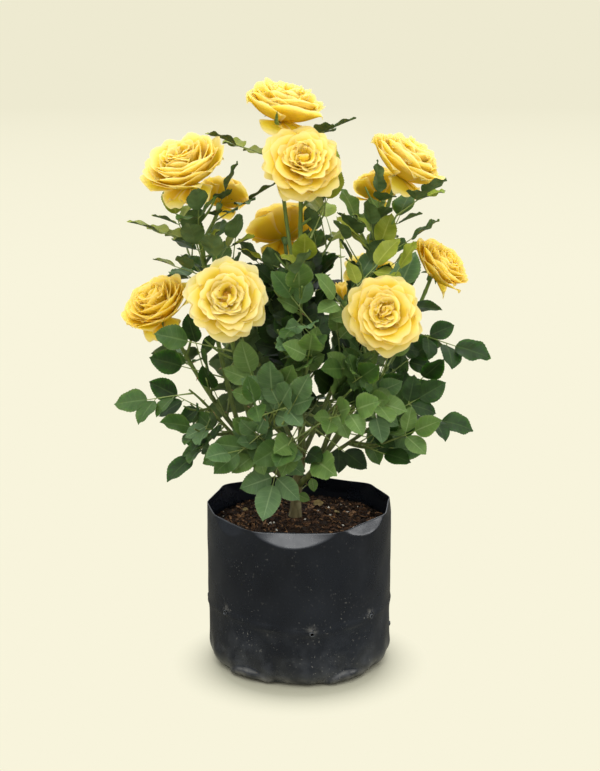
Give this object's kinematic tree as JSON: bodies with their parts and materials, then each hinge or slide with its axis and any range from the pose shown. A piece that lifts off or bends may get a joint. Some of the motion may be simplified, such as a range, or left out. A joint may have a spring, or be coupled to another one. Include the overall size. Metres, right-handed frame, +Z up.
{
  "type": "potted rose bush",
  "caption": "Shrub rose with large ruffled yellow blooms and toothed compound leaves, on a short trunk in a cylindrical black film grow bag filled with compost.",
  "frame": {"origin": "centre of the grow bag's flat underside", "axes": "+Z up along the bag's axis, -Y towards the viewer of the bush's front, +X to that viewer's right"},
  "size_m": [0.401, 0.3131, 0.6339],
  "materials": {
    "film": "black polythene film, satin, dusty and creased",
    "compost": "moist dark compost with bark chips and white grit",
    "bark": "grey-brown bark with fine splits",
    "cane": "green-brown cane, smooth with thorns",
    "foliage": "dark green leaves with a soft gloss and paler veins",
    "petal": "soft matt petals, golden at the base and pale at the rim"
  },
  "bodies": {
    "root": {"grow_bag": "film", "compost": "compost", "trunk": "bark", "bough_crown": "cane", "bough_right_front": "cane", "bough_left_mid": "cane", "bough_front_middle": "cane", "bough_back_low": "cane", "bough_left_front": "cane", "bough_left_upper": "cane", "bough_left_low": "cane", "bough_right_upper": "cane", "bough_right_mid": "cane", "bough_right_low": "cane", "bough_back_left": "cane", "bough_back_right": "cane", "bough_front_right": "cane", "bough_front_left": "cane", "foliage_crown": "foliage", "foliage_right_front": "foliage", "foliage_left_mid": "foliage", "foliage_front_middle": "foliage", "foliage_back_low": "foliage", "foliage_left_front": "foliage", "foliage_left_upper": "foliage", "foliage_left_low": "foliage", "foliage_right_upper": "foliage", "foliage_right_mid": "foliage", "foliage_right_low": "foliage", "foliage_back_left": "foliage", "foliage_back_right": "foliage", "foliage_front_right": "foliage", "foliage_front_left": "foliage"}
  },
  "joints": []
}
